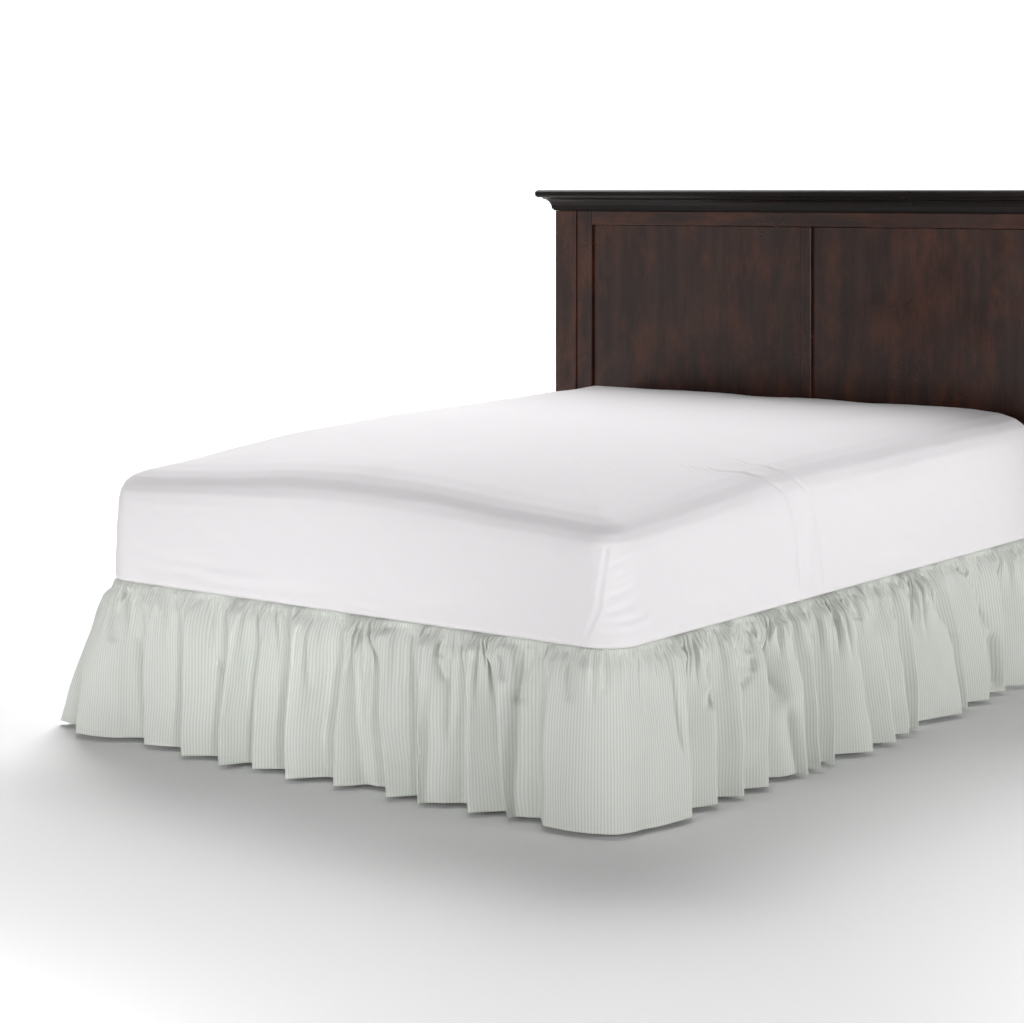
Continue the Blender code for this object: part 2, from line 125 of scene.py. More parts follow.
def edge_points(p):
    """Points of the bed's edge at distances p, and the outward directions there."""
    p = np.asarray(p, float)
    left_arc, right_arc = CORNER_RADIUS, BED_WIDTH - CORNER_RADIUS
    turn_left = np.clip((left_arc - p) / CORNER_RADIUS, 0, math.pi / 2)
    turn_right = np.clip((p - right_arc) / CORNER_RADIUS, 0, math.pi / 2)
    out_x = np.sin(turn_right) - np.sin(turn_left)
    out_y = -np.cos(np.where(p < left_arc, turn_left, turn_right))
    x = np.clip(p, left_arc, right_arc) - HALF + CORNER_RADIUS * out_x
    y = CORNER_RADIUS * (1 + out_y)
    y = y + np.maximum(left_side(CORNER_RADIUS) - p, 0) + np.maximum(p - right_side(CORNER_RADIUS), 0)
    return np.stack([x, y], -1), np.stack([out_x, out_y], -1)


# A crest or a hollow that runs down the cloth, and how far it stands off at the hem
Line = namedtuple("Line", "top hem off")


def crest_and_hollow(fold, place, way=1):
    """A fold's two lines. place turns its places into p, and way is -1 where its hollow comes first."""
    flank = way * fold.flank
    return [Line(place(fold.top), place(fold.hem), fold.crest),
            Line(place(fold.top + TOP_FLANK * flank), place(fold.hem + flank), fold.hollow)]


def left_lines():
    lines = [Line(left_side(BED_LENGTH), left_side(BED_LENGTH), END_STAND_OFF)]
    for i, fold in enumerate(reversed(RIGHT_FOLDS)):
        shift = LEFT_SHIFT * math.sin(2.3 * i)
        crest = LEFT_DEPTH * fold.crest + LEFT_CHANGE * math.sin(1.7 * i + 1.0)
        fold = fold._replace(top=fold.top + shift, hem=fold.hem + shift, crest=crest)
        lines += reversed(crest_and_hollow(fold, left_side))
    return lines


def foot_lines():
    lines = []
    for fold in FOOT_FOLDS:
        lines += reversed(crest_and_hollow(fold, float, -1))
    middle = BED_WIDTH - CORNER_RADIUS + ARC / 2
    dent = right_side(DENT_AT)
    return lines + [Line(middle, middle, CORNER_CREST), Line(dent + DENT_SLANT, dent, DENT)]


def right_lines():
    lines = []
    for fold in RIGHT_FOLDS:
        lines += crest_and_hollow(fold._replace(hollow=SIDE_HOLLOW * fold.hollow), right_side)
    return lines + [Line(right_side(BED_LENGTH), right_side(BED_LENGTH), END_STAND_OFF)]


def smooth_step(x, low, high):
    t = np.clip((x - low) / (high - low), 0, 1)
    return t * t * (3 - 2 * t)


def stand_off(hem, off, base, t):
    """How far the cloth stands off at share t of the drop, from its own and the hollows' at the hem."""
    depth = off - base
    spring = SPRING + (LEFT_SPRING - SPRING) * (1 - smooth_step(hem, *LEFT_SPRING_ENDS))
    spring = np.maximum(spring, depth / (STEEPEST * DROP))
    return CLEARANCE + base * t + depth * (1 - np.exp(-t / spring)) / (1 - np.exp(-1 / spring))


def slow_noise(s, length, seed):
    """Smooth noise between about -1 and 1 along s, with bumps about length long."""
    count = int((s.max() - s.min()) / length) + 4
    values = np.random.default_rng(seed).uniform(-1, 1, count)
    at = (s - s.min()) / length
    i = at.astype(int)
    share = smooth_step(at - i, 0, 1)
    return values[i] * (1 - share) + values[i + 1] * share


def soft_mean(values, length):
    """Values along the cloth averaged over a bell of that length, with their ends kept."""
    reach = int(2.5 * length / THREAD)
    bell = np.exp(-0.5 * (np.arange(-reach, reach + 1) * THREAD / length) ** 2)
    low = 2 * values[0] - values[reach:0:-1]
    high = 2 * values[-1] - values[-2:-reach - 2:-1]
    return np.convolve(np.concatenate([low, values, high]), bell / bell.sum(), mode="valid")


def distances(points):
    """Distance of each point along the line through them all."""
    steps = np.linalg.norm(np.diff(points, axis=0), axis=1)
    return np.concatenate([[0], np.cumsum(steps)])


# Steps from one line to the next
STEPS = 60


def threads(lines):
    """Evenly spaced threads: how far along the cloth each is, its places at the seam and at the hem, its
    stand-off and the hollows' own at the hem, and how far along the hollows are.
    """
    top, hem, off, base = [], [], [], []
    lowest = [min(line.off for line in lines[max(i - 1, 0):i + 2]) for i in range(len(lines))]
    for i, (here, there) in enumerate(zip(lines, lines[1:])):
        t = np.arange(STEPS) / STEPS
        face = SIDE_FACE_EASE if here.hem > BED_WIDTH else FACE_EASE
        ease = FLANK_EASE if there.hem - here.hem < FLANK_AT_MOST else face
        rise = t ** ease if there.off > here.off else 1 - (1 - t) ** ease
        top.append(here.top + (there.top - here.top) * t)
        hem.append(here.hem + (there.hem - here.hem) * t)
        off.append(here.off + (there.off - here.off) * rise)
        base.append(lowest[i] + (lowest[i + 1] - lowest[i]) * t)
    top, hem, off, base = (np.concatenate(part) for part in (top, hem, off, base))
    xy, out = edge_points(hem)
    s = distances(xy + out * off[:, None])
    spaced = np.arange(0, s[-1], THREAD)
    hollows = [s[STEPS * i] for i in range(1, len(lines) - 1)
               if lines[i].off < lines[i - 1].off and lines[i].off < lines[i + 1].off]
    top, hem, off, base = (np.interp(spaced, s, part) for part in (top, hem, off, base))
    return spaced, soft_mean(top, EVEN_GATHER), hem, soft_mean(off, CREST_ROUND), base, hollows


# Distances of the rows of points down the cloth from the seam at the box spring's edge
DOWN = np.concatenate([
    -np.array([0.026, 0.0204, 0.0175, 0.0145, 0.0115, 0.0085, 0.0056, 0.0028]),
    np.linspace(0.0, 0.045, 16, endpoint=False),
    np.linspace(0.045, 0.125, 17, endpoint=False),
    np.linspace(0.125, DROP, 30),
])


def lay_out(top, hem, off, base):
    """The cloth hung in its main folds, with rows down and threads across, and its outward directions."""
    grid, normal = np.zeros((2, len(DOWN), len(top), 3))
    roll = EDGE_ROUND + CLEARANCE
    quarter = roll * math.pi / 2
    height = BOX_TOP - EDGE_ROUND
    fall = np.zeros(len(top))
    before = [stand_off(hem, off, base, 0.0), top, 0.0]
    for r, down in enumerate(DOWN):
        if down < 0:
            past = down + quarter
            angle = max(0.0, past) / roll
            xy, out = edge_points(top)
            grid[r, :, :2] = xy + out * (-EDGE_ROUND + roll * math.sin(angle) + min(0.0, past))
            grid[r, :, 2] = height + roll * math.cos(angle)
            normal[r, :, :2] = out * math.sin(angle)
            normal[r, :, 2] = math.cos(angle)
            continue
        t = down / DROP
        now = [stand_off(hem, off, base, t), top + (hem - top) * t, down]
        swing, shift, run = (a - b for a, b in zip(now, before))
        fall = fall + np.sqrt(np.maximum(run ** 2 - swing ** 2 - shift ** 2, 0))
        before = now
        xy, out = edge_points(now[1])
        grid[r, :, :2] = xy + out * now[0][:, None]
        grid[r, :, 2] = fall
        normal[r, :, :2] = out
    hanging = DOWN >= 0
    grid[hanging, :, 2] = height - (height - HEM_HEIGHT) * grid[hanging, :, 2] / fall
    return grid, normal


# The gathers run together on the way down: small puffs at the seam, then two to one, then two again.
# width: the cloth in each. start, full, fade, gone: distances down at which they grow and die out
Gather = namedtuple("Gather", "width start full fade gone depth")
GATHERS = (
    Gather(0.0150, -0.013, -0.007, 0.004, 0.018, 1.00),
    Gather(0.0300, -0.011, -0.003, 0.022, 0.075, 1.30),
    Gather(0.0600, 0.004, 0.030, 0.055, 0.130, 0.55),
)
# A puff's section is PUFF_HEIGHT * |sine| ** PUFF_SHAPE - PUFF_BASE: round outside and sharp inside
PUFF_HEIGHT, PUFF_SHAPE, PUFF_BASE = 1.70, 0.55, 0.45
# Most surplus that gathers take up, and most that cloth moves where it curves, as a share of the radius
MOST_SURPLUS, MOST_OF_RADIUS = 2.5, 0.6


def gather_phase(s, hollows):
    """Angle that grows by half a turn over each small gather, with whole large ones from hollow to hollow."""
    ends = np.concatenate([[s[0]], hollows, [s[-1]]])
    small_in_large = 2 ** (len(GATHERS) - 1)
    large = GATHERS[0].width * small_in_large
    counts = np.maximum(np.round(np.diff(ends) / large), 1) * small_in_large
    phase = math.pi * np.interp(s, ends, np.concatenate([[0], np.cumsum(counts)]))
    return phase + 1.1 * slow_noise(s, 0.060, 11) + 1.3 * slow_noise(s, 0.026, 12)


def add_gathers(grid, normal, s, hollows):
    """Pleats the surplus width of each row, in small gathers that run together into larger ones."""
    along = np.gradient(grid, axis=1)
    spacing = np.linalg.norm(along, axis=2)
    surplus = np.clip((THREAD / np.maximum(spacing, 1e-5)) ** 2 - 1, 0, MOST_SURPLUS)
    surplus = blur(surplus[..., None], 12, 0)[..., 0]
    ax, ay = along[..., 0], along[..., 1]
    level = np.stack([ay, -ax, 0 * ax], -1) / np.sqrt(ay * ay + ax * ax)[..., None]
    normal = np.where((DOWN >= 0)[:, None, None], blur(level, 9, 1), normal)
    normal = normal / np.linalg.norm(normal, axis=2, keepdims=True)
    phase = gather_phase(s, hollows)
    out = np.zeros(spacing.shape)
    for i, g in enumerate(GATHERS):
        longer = 1 + 0.40 * slow_noise(s, g.width * 1.7, 21 + i)
        strength = 1 + 0.30 * slow_noise(s, g.width * 2.3, 31 + i)
        down = DOWN[:, None] / longer[None, :]
        share = smooth_step(down, g.start, g.full) * (1 - smooth_step(down, g.fade, g.gone))
        wave = PUFF_HEIGHT * np.abs(np.sin(phase / 2 ** i)) ** PUFF_SHAPE - PUFF_BASE
        size = g.depth * g.width / (math.pi * math.sqrt(2)) * np.sqrt(surplus) * share
        out += size * wave * strength
    # no further than the cloth can go where it curves without its threads crossing
    curve = -np.einsum("ijk,ijk->ij", np.gradient(normal, axis=1), along) / np.maximum(spacing, 1e-5) ** 2
    out = np.minimum(out, MOST_OF_RADIUS / np.maximum(curve, 1e-3))
    out = np.maximum(out, -MOST_OF_RADIUS / np.maximum(-curve, 1e-3))
    return grid + normal * out[..., None]


def relax(grid, target, rounds):
    """Moves points until the cloth has its own width and drop everywhere, near its main folds."""
    dtype = np.float32
    x = grid.astype(dtype)
    goal = target.astype(dtype)
    rows, count, _ = x.shape
    free = smooth_step(DOWN, -0.022, -0.010)[:, None, None].astype(dtype)
    # each row wants the main folds' width at the seam, the cloth's own below it, then nearly the folds' again
    own = np.linalg.norm(np.diff(target, axis=1), axis=2)
    full = smooth_step(DOWN, -0.018, -0.008) * (1 - RELEASE * smooth_step(DOWN, 0.05, 0.16))
    across = own + np.maximum(THREAD - own, 0) * full[:, None]
    down = np.maximum(np.linalg.norm(np.diff(target, axis=0), axis=2),
                      0.9 * np.linalg.norm(np.diff(grid, axis=0), axis=2))
    w = free * np.ones((1, count, 1), dtype)

    def solve(a, b, rest, stiff):
        d = x[b] - x[a]
        length = np.sqrt(np.einsum("ijk,ijk->ij", d, d)) + 1e-9
        wa, wb = w[a][..., 0], w[b][..., 0]
        c = stiff * (length - rest) / length / np.maximum(wa + wb, 1e-6)
        d *= c[..., None]
        x[a] += d * wa[..., None]
        x[b] -= d * wb[..., None]

    def pairs(start, apart, count):
        """Points and their partners so far on, as slices that share no point."""
        return slice(start, count - apart, 2 * apart), slice(start + apart, count, 2 * apart)

    every = slice(None)
    across = across.astype(dtype)
    down = down.astype(dtype)
    diagonal = np.sqrt(across[:-1] ** 2 / 2 + across[1:] ** 2 / 2 + down[:, :-1] ** 2)
    bend_across = across[:, :-1] + across[:, 1:]
    bend_down = down[:-1] + down[1:]
    for k in range(rounds):
        x[..., 2] -= SAG * free[..., 0]
        for start in (0, 1):
            a, b = pairs(start, 1, count)
            solve((every, a), (every, b), across[:, start::2], SIDE_STIFF)
        for start in (0, 1):
            a, b = pairs(start, 1, rows)
            solve((a, every), (b, every), down[start::2], SIDE_STIFF)
        upper, lower = slice(0, rows - 1), slice(1, rows)
        for start in (0, 1):
            a, b = pairs(start, 1, count)
            solve((upper, a), (lower, b), diagonal[:, start::2], DIAGONAL_STIFF)
            solve((upper, b), (lower, a), diagonal[:, start::2], DIAGONAL_STIFF)
        for start in (0, 1, 2, 3):
            a, b = pairs(start, 2, count)
            solve((every, a), (every, b), bend_across[:, start::4], BEND_ACROSS)
            a, b = pairs(start, 2, rows)
            solve((a, every), (b, every), bend_down[start::4], BEND_DOWN)
        if k % 4 == 3:
            drift = blur(goal - x, 9, 2)
            x += drift * HOMING * free
            keep_off(x, free)
    x += (blur(x, 1, 1) - x) * free
    return x.astype(float)


# The cloth's slow unevenness: length, size and seed of its waves
WAVES = ((0.150, 0.0030, 51), (0.085, 0.0018, 61), (0.045, 0.0010, 71))


def waver(s):
    """Slow unevenness of the cloth, which starts below the seam."""
    depth = np.zeros((len(DOWN), len(s)))
    for length, size, seed in WAVES:
        for turn in range(3):
            phase = 2 * math.pi * (DOWN / (2.6 * length) + 0.37 * turn)
            depth += size * np.sin(phase)[:, None] * slow_noise(s, length, seed + turn)[None, :]
    return depth * smooth_step(DOWN, 0.02, 0.12)[:, None]


def blur(values, wide, tall):
    """Running mean over 2 * wide + 1 threads and 2 * tall + 1 rows."""
    for axis, reach in ((1, wide), (0, tall)):
        pad = [(0, 0)] * 3
        pad[axis] = (reach + 1, reach)
        total = np.cumsum(np.pad(values, pad, mode="edge"), axis=axis, dtype=np.float64)
        size = 2 * reach + 1
        first = np.arange(values.shape[axis])
        sums = total.take(first + size, axis) - total.take(first, axis)
        values = (sums / size).astype(values.dtype)
    return values


# How far inside its clearance the cloth may come to the box spring, and how far it stays off the floor
SLACK, FLOOR_GAP = 0.0008, 0.003


def keep_off(x, free):
    """Keeps the free rows clear of the box spring's sides, and all rows clear of the floor."""
    qx, qy = past_corners(x[..., 0], x[..., 1])
    corner = (qx > 0) & (qy > 0)
    r = np.sqrt(qx ** 2 + qy ** 2) + 1e-9
    side_out = np.where(corner, r, np.maximum(qx, qy)) - CORNER_RADIUS
    need = np.where(free[..., 0] > 0.5, np.maximum(CLEARANCE - SLACK - side_out, 0), 0)
    gx = np.where(corner, qx / r, qx >= qy) * np.sign(x[..., 0])
    gy = -np.where(corner, qy / r, qy > qx)
    x[..., 0] += (gx * need).astype(x.dtype)
    x[..., 1] += (gy * need).astype(x.dtype)
    x[..., 2] = np.maximum(x[..., 2], FLOOR_GAP)


def grid_mesh(name, grid, uv, material, around=False, caps=False):
    """A piece from rows of points. around joins each row's end to its start, caps closes the outer rows."""
    rows, count, _ = grid.shape
    mesh = bpy.data.meshes.new(name)
    across = count if around else count - 1
    r, c = np.meshgrid(np.arange(rows - 1), np.arange(across), indexing="ij")
    here, after = (r * count + c).ravel(), (r * count + (c + 1) % count).ravel()
    faces = np.stack([here, here + count, after + count, after], 1)
    corners = faces.ravel()
    starts = np.arange(0, faces.size, 4)
    if caps:
        last = (rows - 1) * count + np.arange(count)
        corners = np.concatenate([corners, np.arange(count), last[::-1]])
        starts = np.concatenate([starts, [faces.size, faces.size + count]])
    mesh.vertices.add(rows * count)
    mesh.vertices.foreach_set("co", (grid + np.array([0, BED_Y, 0])).ravel())
    mesh.loops.add(len(corners))
    mesh.loops.foreach_set("vertex_index", corners.astype(np.int32))
    mesh.polygons.add(len(starts))
    mesh.polygons.foreach_set("loop_start", starts.astype(np.int32))
    mesh.shade_smooth()
    mesh.update(calc_edges=True)
    mesh.uv_layers.new(name="cloth").data.foreach_set("uv", uv.reshape(-1, 2)[corners].ravel())
    piece = bpy.data.objects.new(name, mesh)
    bpy.context.scene.collection.objects.link(piece)
    mesh.materials.append(material)
    return piece


def surface_normals(grid, around=False):
    """The grid's normals, to one side or the other."""
    if around:
        across = np.roll(grid, -1, 1) - np.roll(grid, 1, 1)
    else:
        across = np.gradient(grid, axis=1)
    normal = np.cross(across, np.gradient(grid, axis=0))
    return normal / np.maximum(np.linalg.norm(normal, axis=2, keepdims=True), 1e-9)


# The hem, turned up inside: how far above the edge each row lies, and how far inside the outer face
HEM_ROWS = ((-0.0007, 0.0005), (0.0000, 0.0012), (0.0064, 0.0013), (0.0128, 0.0012))
HEM_UV_STEP = 0.001

# Tucks laid on the hanging cloth. p_top, down_top and p_low, down_low: its two ends, along the bed's
# edge and down the drop. ends: 0 fades out at both ends, 1 at the lower, 2 at the upper, 3 at neither
Tuck = namedtuple("Tuck", "p_top down_top p_low down_low wide deep ends")
SKIRT_CREASES = tuple(Tuck(*row) for row in (
    (0.085, 0.006, 0.072, 0.070, 0.010, 0.014, 1), (0.072, 0.066, 0.078, 0.140, 0.010, 0.012, 1),
    (0.106, 0.020, 0.185, 0.365, 0.016, 0.012, 3), (0.250, 0.010, 0.268, 0.150, 0.014, 0.008, 1),
    (0.370, 0.020, 0.380, 0.120, 0.007, 0.010, 1), (0.380, 0.112, 0.480, 0.260, 0.012, 0.010, 0),
    (0.500, 0.030, 0.520, 0.365, 0.022, 0.008, 2), (0.600, 0.010, 0.605, 0.120, 0.009, 0.008, 1),
    (0.695, 0.004, 0.712, 0.180, 0.009, 0.012, 1), (0.740, 0.100, 0.745, 0.365, 0.018, 0.008, 2),
    (0.832, 0.010, 0.868, 0.365, 0.015, 0.015, 3), (0.858, 0.030, 0.868, 0.240, 0.006, 0.009, 0),
    (0.985, 0.010, 1.000, 0.180, 0.014, 0.009, 1), (1.071, 0.010, 1.074, 0.056, 0.008, 0.010, 0),
    (1.074, 0.052, 1.094, 0.108, 0.008, 0.011, 0), (1.068, 0.100, 1.074, 0.365, 0.015, 0.014, 2),
    (1.100, 0.028, 1.101, 0.240, 0.006, 0.012, 0), (1.125, 0.120, 1.130, 0.365, 0.018, 0.006, 2),
    (1.238, 0.010, 1.262, 0.090, 0.010, 0.012, 0), (1.300, 0.004, 1.296, 0.115, 0.010, 0.020, 3),
    (1.296, 0.112, 1.304, 0.365, 0.017, 0.020, 3), (1.418, 0.010, 1.430, 0.110, 0.012, 0.008, 0),
    (1.480, 0.006, 1.486, 0.090, 0.010, 0.007, 0), (1.540, 0.010, 1.530, 0.110, 0.010, 0.006, 0),
    (1.585, 0.006, 1.552, 0.365, 0.018, 0.006, 2), (1.650, 0.020, 1.657, 0.260, 0.009, 0.010, 1),
    (1.781, 0.008, 1.788, 0.120, 0.011, 0.016, 0), (1.788, 0.112, 1.772, 0.160, 0.010, 0.013, 0),
    (1.942, 0.010, 1.973, 0.075, 0.010, 0.012, 0), (1.973, 0.070, 1.965, 0.115, 0.009, 0.010, 0),
    (1.965, 0.110, 1.915, 0.150, 0.011, 0.009, 0), (2.000, 0.020, 2.087, 0.205, 0.015, 0.018, 1),
    (2.087, 0.195, 2.112, 0.365, 0.017, 0.018, 2), (2.210, 0.004, 2.256, 0.090, 0.007, 0.010, 1),
    (2.322, 0.000, 2.350, 0.065, 0.007, 0.012, 1), (2.389, 0.008, 2.465, 0.075, 0.007, 0.012, 1),
    (2.610, 0.002, 2.600, 0.092, 0.008, 0.014, 1), (2.696, 0.008, 2.762, 0.110, 0.007, 0.010, 1),
    (2.842, 0.060, 2.853, 0.140, 0.010, 0.014, 0), (2.853, 0.120, 2.930, 0.190, 0.010, 0.012, 0),
    (3.040, 0.010, 3.181, 0.205, 0.015, 0.026, 1), (3.181, 0.190, 3.198, 0.340, 0.017, 0.026, 2),
))


# The short tucks at the seam: their spacing, how far they stay from the cloth's ends, their stray and slant.
# Then length, breadth and depth: the least, and how much more the largest has
PINCH_SPACING, PINCH_MARGIN, PINCH_STRAY, PINCH_SLANT = 0.017, 0.02, 0.007, 0.35
PINCH_SIZES = ((0.020, 0.075), (0.0030, 0.0030), (0.0040, 0.0050))


def pinches(place):
    """Depth of the short tucks that start at the seam, all the way round, and die out below it."""
    rng = np.random.default_rng(81)
    depth = np.zeros(place.shape)
    end = BED_LENGTH - PINCH_MARGIN
    for p in np.arange(left_side(end), right_side(end), PINCH_SPACING):
        size = rng.uniform(0, 1) ** 1.5
        stray, slant = rng.uniform(-PINCH_STRAY, PINCH_STRAY), rng.uniform(-PINCH_SLANT, PINCH_SLANT)
        middle = p + stray + slant * DOWN[:, None]
        length, wide, deep = (least + more * size for least, more in PINCH_SIZES)
        fade = smooth_step(DOWN, -0.010, -0.001) * np.clip(1 - DOWN / length, 0, 1) ** 1.4
        depth += deep * fade[:, None] * np.exp(-(np.abs(place - middle) / wide) ** 1.5)
    return depth


def add_creases(cloth, normal, top, hem):
    """Presses the listed tucks and the short ones at the seam into the cloth."""
    place = top + (hem - top) * (np.clip(DOWN, 0, None)[:, None] / DROP)
    depth = np.zeros(place.shape)
    for fold in SKIRT_CREASES:
        along = (DOWN[:, None] - fold.down_top) / (fold.down_low - fold.down_top)
        middle = fold.p_top + (fold.p_low - fold.p_top) * np.clip(along, -0.3, 1.3)
        aside = np.abs(place - middle) / fold.wide
        starts = (-0.12, 0.0) if fold.ends & 1 else (0.0, 0.3)
        stops = (1.0, 1.12) if fold.ends & 2 else (1 - 0.3, 1.0)
        fade = smooth_step(along, *starts) * (1 - smooth_step(along, *stops))
        depth += fold.deep * fade * np.exp(-aside ** 1.5)
    depth = depth * smooth_step(DOWN, -0.002, 0.012)[:, None] + pinches(place)
    return cloth + normal * depth[..., None]


def turn_hem(cloth, inward):
    """The cloth with its hem's rows, and the distance down of every row."""
    rows, down = [cloth], list(DOWN)
    for above, inside in HEM_ROWS:
        r = -1 - int(round(max(above, 0) / (DOWN[-1] - DOWN[-2])))
        row = cloth[r] + inward[r] * inside
        row[:, 2] += min(above, 0)
        rows.append(row[None])
        down.append(DOWN[-1] + above + HEM_UV_STEP)
    return np.concatenate(rows), np.array(down)


def stand_for(piece, node):
    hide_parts(node)
    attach(piece, "root")


def build_skirt():
    s, top, hem, off, base, hollows = threads(left_lines() + foot_lines() + right_lines())
    hung, normal = lay_out(top, hem, off, base)
    hung = hung + normal * waver(s)[..., None]
    pleated = add_gathers(hung, normal, s, hollows)
    cloth = relax(pleated, hung, ROUNDS)
    inward = surface_normals(cloth)
    if np.mean(inward[..., :2] * (hung[..., :2] - CENTRE)) > 0:
        inward = -inward
    cloth = add_creases(cloth, blur(inward, 4, 2), top, hem)
    keep_off(cloth, smooth_step(DOWN, 0.0, 0.004)[:, None, None])
    cloth, down = turn_hem(cloth, inward)
    uv = np.stack(np.broadcast_arrays(s[None, :], down[:, None]), -1)
    cuts = [0, *np.searchsorted(hem, (foot_lines()[0].hem, right_lines()[1].hem)), len(s)]
    for side, first, last in zip(("left", "foot", "right"), cuts, cuts[1:]):
        part = slice(first, min(last + 1, len(s)))
        piece = grid_mesh("ruffle_cloth_" + side, cloth[:, part], uv[:, part], STRIPED_COTTON)
        stand_for(piece, "ruffle_" + side)


# ---- what it hangs on ----

def even(steps):
    return np.linspace(0, 1, steps, endpoint=False)[1:]


def outline(inset, foot_radius, head_radius, arc_steps, shares, head_out=0.0):
    """The bed's outline, with points at shares of its right side, its head, its left side and its foot."""
    foot, head = max(foot_radius - inset, 0.02), max(head_radius - inset, 0.02)
    x_out, y_low, y_high = HALF - inset, inset, BED_LENGTH - inset + head_out
    corners = (
        (x_out - foot, y_low + foot, foot, -90), (x_out - head, y_high - head, head, 0),
        (-x_out + head, y_high - head, head, 90), (-x_out + foot, y_low + foot, foot, 180),
    )
    arcs = []
    for cx, cy, radius, start in corners:
        turn = np.radians(start + np.linspace(0, 90, arc_steps + 1))
        arcs.append(np.stack([cx + radius * np.cos(turn), cy + radius * np.sin(turn)], 1))
    parts = []
    for k, t in enumerate(shares):
        here, there = arcs[k][-1], arcs[(k + 1) % 4][0]
        parts += [arcs[k], here + (there - here) * t[:, None]]
    return np.concatenate(parts)


def rings(section, *plan):
    """Rows of points round the bed, one for each inset and height of the section."""
    rows = []
    for inset, height in section:
        xy = outline(inset, *plan)
        rows.append(np.column_stack([xy, np.full(len(xy), height)]))
    return np.array(rows)


def edge_place(x, y):
    """Distance p along the bed's edge of the points nearest to it."""
    qx, qy = past_corners(x, y)
    turn = np.arctan2(np.maximum(qx, 0), np.maximum(qy, 1e-6))
    on_side = y > CORNER_RADIUS
    right = np.where(on_side, right_side(y), BED_WIDTH - CORNER_RADIUS + CORNER_RADIUS * turn)
    left = np.where(on_side, left_side(y), CORNER_RADIUS - CORNER_RADIUS * turn)
    at_foot = (qx <= 0) & ~on_side
    return np.where(at_foot, x + HALF, np.where(x > 0, right, left))


# Half of the section of the mattress in its sheet, from below to the middle of its top: how far in from the
# bed's edge and how high each point is
MATTRESS_SECTION = (
    (0.058, 0.0000), (0.018, 0.0006), (0.012, 0.0002), (0.007, 0.0010), (0.0035, 0.0030), (0.001, 0.0062),
    (0.000, 0.0105), (0.000, 0.020), (0.000, 0.060), (0.003, 0.150), (0.007, 0.232), (0.012, 0.268),
    (0.023, 0.296), (0.042, 0.316), (0.074, 0.332), (0.130, 0.345), (0.220, 0.352), (0.360, 0.3555),
    (0.735, 0.356),
)
MATTRESS_THICKNESS = MATTRESS_SECTION[-1][1]
MATTRESS_BOTTOM = BOX_TOP + 0.0022
# Height on its side above which it takes part in the top's droop
MATTRESS_SIDE = 0.120
# Width of sheet under it, how far it stands out past the bed's edge, in general and at the head, its girth
SHEET_LIP = 0.060
SHEET_OUT, HEAD_OUT = 0.010, 0.028
SHEET_GIRTH = 7.1
MATTRESS_CORNER, MATTRESS_HEAD_CORNER = 0.075, 0.030
CORNER_DROOP, DROOP_REACH, FOOT_DROOP, HEAD_RISE = 0.052, 0.48, 0.022, 0.012


def mattress_height(x, y, height):
    """The soft top is lower at the foot and at its corners, and rises a little towards the head."""
    share = np.maximum(0.0, (height - MATTRESS_SIDE) / (MATTRESS_THICKNESS - MATTRESS_SIDE))
    corner = np.exp(-(np.hypot(HALF - np.abs(x), y) / DROOP_REACH) ** 2)
    along = y / BED_LENGTH
    return height + share * (HEAD_RISE * along - FOOT_DROOP * (1 - along) - CORNER_DROOP * corner)


# Creases of the fitted sheet. p, climb: middle, along the bed's edge and up the sheet, over its shoulder.
# run, rise: how far it goes from its middle to its end each way. deep: its height, less than 0 for a dent
Crease = namedtuple("Crease", "p climb run rise wide deep")
SHEET_CREASES = tuple(Crease(*row) for row in (
    (1.530, 0.416, 0.080, 0.002, 0.006, -0.0036), (1.535, 0.428, 0.070, 0.006, 0.006, 0.0024),
    (1.545, 0.441, 0.070, 0.009, 0.006, -0.0038), (1.530, 0.452, 0.050, 0.012, 0.006, 0.0024),
    (1.516, 0.463, 0.044, 0.014, 0.0055, -0.0038), (1.520, 0.480, 0.040, 0.015, 0.006, 0.0022),
    (1.516, 0.498, 0.042, 0.018, 0.0055, -0.0034), (1.520, 0.551, 0.040, 0.014, 0.0055, -0.0030),
    (1.515, 0.587, 0.034, 0.018, 0.0055, -0.0028), (2.275, 0.520, 0.022, 0.180, 0.020, -0.0030),
    (0.240, 0.425, 0.130, 0.004, 0.010, -0.0042), (0.420, 0.415, 0.160, -0.003, 0.011, -0.0046),
    (0.430, 0.432, 0.120, -0.003, 0.010, 0.0026), (0.640, 0.420, 0.150, 0.006, 0.011, -0.0036),
    (0.300, 0.455, 0.190, -0.006, 0.014, -0.0032), (0.845, 0.398, 0.060, -0.006, 0.008, -0.0036),
    (1.050, 0.430, 0.140, 0.010, 0.016, -0.0024), (1.800, 0.440, 0.120, -0.010, 0.016, -0.0024),
    (2.700, 0.430, 0.200, -0.006, 0.016, -0.0026),
))
# Its seam at the corner, and the two edges of the tuck that runs up the right side and across the top
Seam = namedtuple("Seam", "path wide deep")
SHEET_SEAMS = (
    Seam(((1.492, 0.640), (1.484, 0.560), (1.477, 0.487), (1.475, 0.462), (1.456, 0.414), (1.446, 0.385)),
         0.0036, -0.0032),
    Seam(((2.222, 0.385), (2.205, 0.540), (2.170, 0.655), (2.110, 0.700), (2.040, 0.770), (1.980, 0.950),
          (1.826, 1.130)), 0.0042, -0.0030),
    Seam(((2.332, 0.385), (2.320, 0.500), (2.285, 0.630), (2.200, 0.705), (2.145, 0.760), (2.165, 0.870)),
         0.0042, -0.0028),
)


# How much a crease bends, as a share of its length. Then the ridge beside a seam: its height as a share of
# the seam's depth, and its distance and breadth in breadths of the seam
CREASE_BEND = 0.06
RIDGE, RIDGE_AT, RIDGE_WIDE = 0.35, 2.4, 1.6


